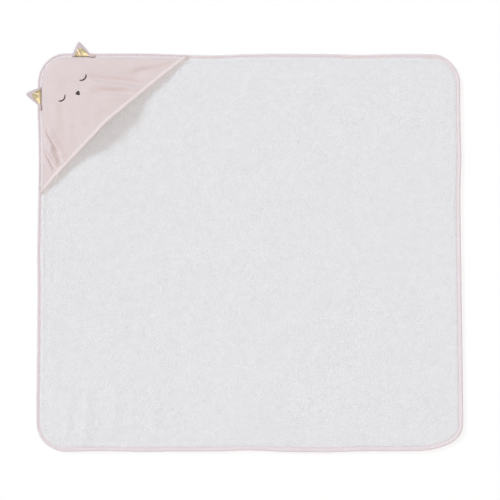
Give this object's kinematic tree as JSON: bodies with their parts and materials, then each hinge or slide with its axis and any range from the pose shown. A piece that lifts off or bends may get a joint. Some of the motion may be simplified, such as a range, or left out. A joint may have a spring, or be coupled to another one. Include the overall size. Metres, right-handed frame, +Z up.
{
  "type": "hooded baby towel",
  "caption": "Terry towel laid flat, with rounded corners, a tape-bound edge and a lined corner hood with small folding ears and an embroidered sleeping face.",
  "frame": {"origin": "middle of the terry square's underside, on the surface that the towel lies on", "axes": "+X along the longer side, away from the hood; +Y along the shorter side, towards the hood's edge; +Z up, out of the face that the hood is on"},
  "size_m": [0.8215, 0.7715, 0.0233],
  "materials": {
    "terry": "white cotton terry with loops on both faces",
    "hood_cloth": "pale pink cotton velour, short dense pile",
    "edge_tape": "pale pink cotton bias tape, matt",
    "mouth_tape": "paler pink cotton bias tape, matt",
    "gold_cloth": "gold lame cloth, metallic sheen",
    "brown_thread": "very dark brown satin stitch, soft gloss",
    "pink_thread": "pale pink polyester sewing thread"
  },
  "bodies": {
    "towel": {"terry_panel": "terry", "edge_binding": "edge_tape", "edge_stitching": "pink_thread"},
    "hooded_corner": {"terry_corner": "terry", "edge_binding_corner": "edge_tape", "edge_stitching_corner": "pink_thread", "hood_lining": "terry", "hood_outer": "hood_cloth", "hood_mouth_binding": "mouth_tape", "hood_mouth_stitching": "pink_thread", "eye_left_embroidery": "brown_thread", "eye_right_embroidery": "brown_thread", "nose_embroidery": "brown_thread"},
    "ear_left": {"ear_left_back": "hood_cloth", "ear_left_front": "gold_cloth"},
    "ear_right": {"ear_right_back": "hood_cloth", "ear_right_front": "gold_cloth"}
  },
  "joints": [
    {"name": "hooded_corner_fold", "type": "hinge", "parent": "towel", "child": "hooded_corner", "pos_m": [-0.24655, 0.22958, 0.016], "axis": [0.7291, 0.6844, 0], "range_deg": [0, 110]},
    {"name": "ear_left_fold", "type": "hinge", "parent": "hooded_corner", "child": "ear_left", "pos_m": [-0.3943, 0.2915, 0.0069], "axis": [0, 1, 0], "range_deg": [0, 150]},
    {"name": "ear_right_fold", "type": "hinge", "parent": "hooded_corner", "child": "ear_right", "pos_m": [-0.3165, 0.3693, 0.0069], "axis": [1, 0, 0], "range_deg": [0, 150]}
  ]
}
